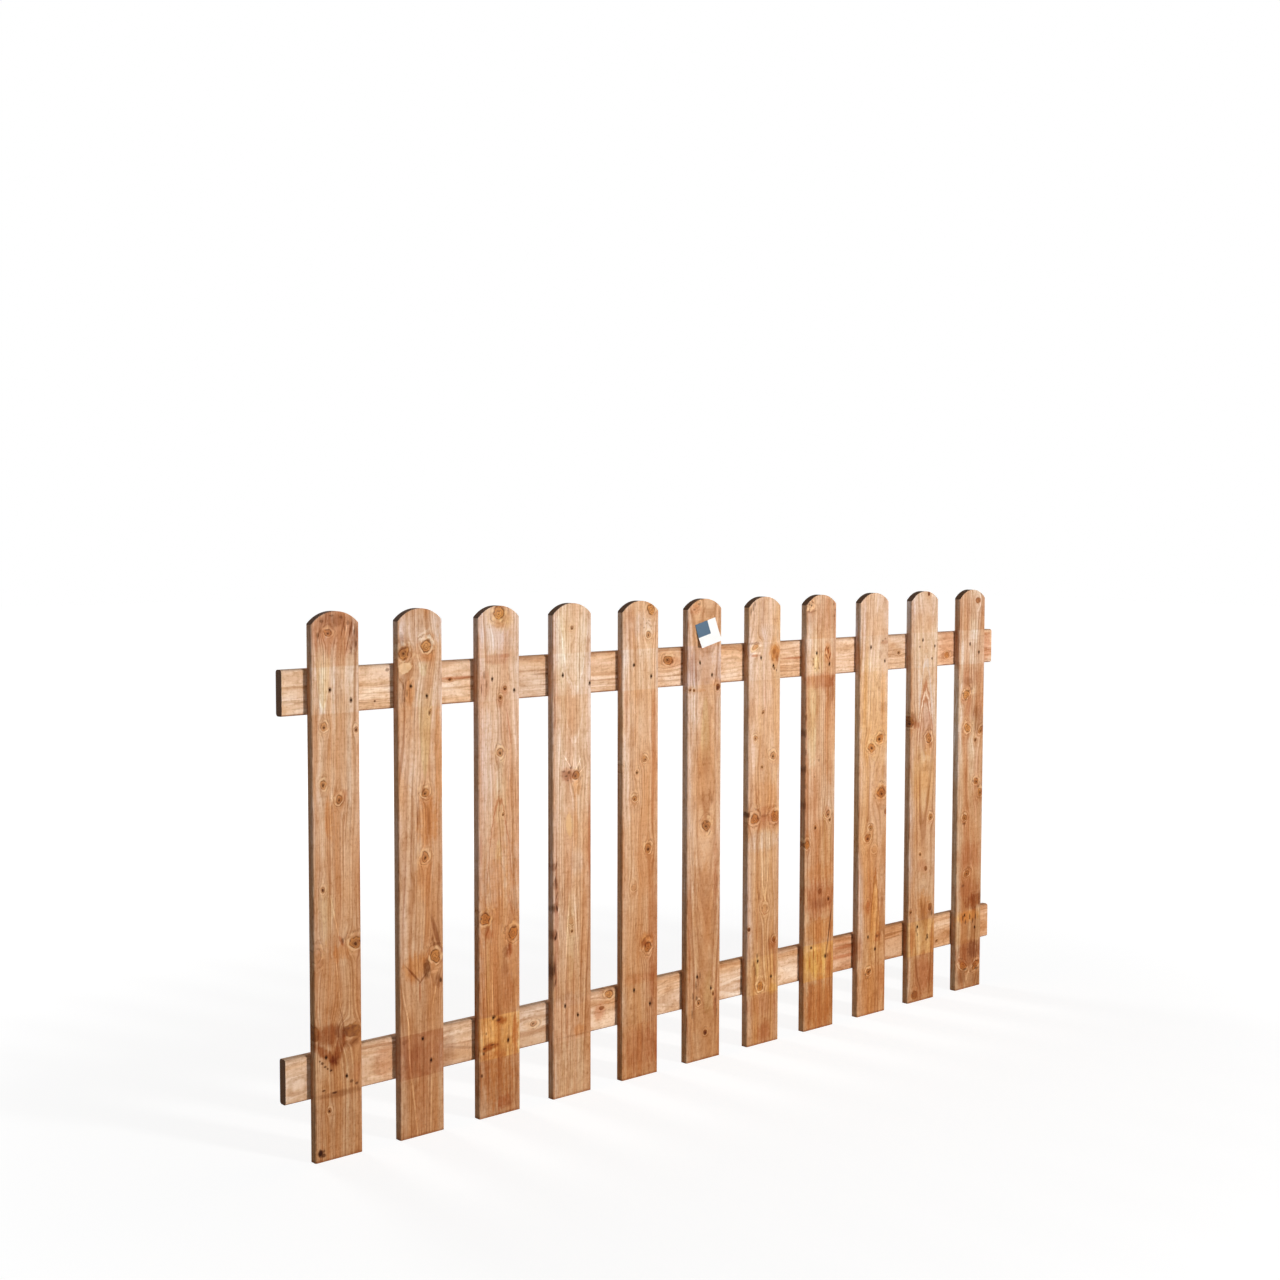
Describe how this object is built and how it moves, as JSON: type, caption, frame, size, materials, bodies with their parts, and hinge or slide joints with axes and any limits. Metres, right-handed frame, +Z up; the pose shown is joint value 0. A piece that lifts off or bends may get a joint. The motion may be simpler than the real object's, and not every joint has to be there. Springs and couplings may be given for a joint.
{
  "type": "picket fence panel",
  "caption": "Low picket fence panel: upright round-topped boards nailed across two level wooden rails, with rail ends that run past the end boards for fixing to posts.",
  "frame": {"origin": "middle of the bottom rail's back face, which lies against the posts", "axes": "+X along the panel to the right as seen from the picket side, +Y out of the back, +Z up"},
  "size_m": [1.83, 0.034, 0.9],
  "materials": {
    "picket_wood": "planed softwood, golden brown dip stain, matt",
    "rail_wood": "planed softwood, paler dip stain, matt"
  },
  "bodies": {
    "root": {"picket_01": "picket_wood", "picket_02": "picket_wood", "picket_03": "picket_wood", "picket_04": "picket_wood", "picket_05": "picket_wood", "picket_06": "picket_wood", "picket_07": "picket_wood", "picket_08": "picket_wood", "picket_09": "picket_wood", "picket_10": "picket_wood", "picket_11": "picket_wood", "top_rail": "rail_wood", "bottom_rail": "rail_wood"}
  },
  "joints": []
}
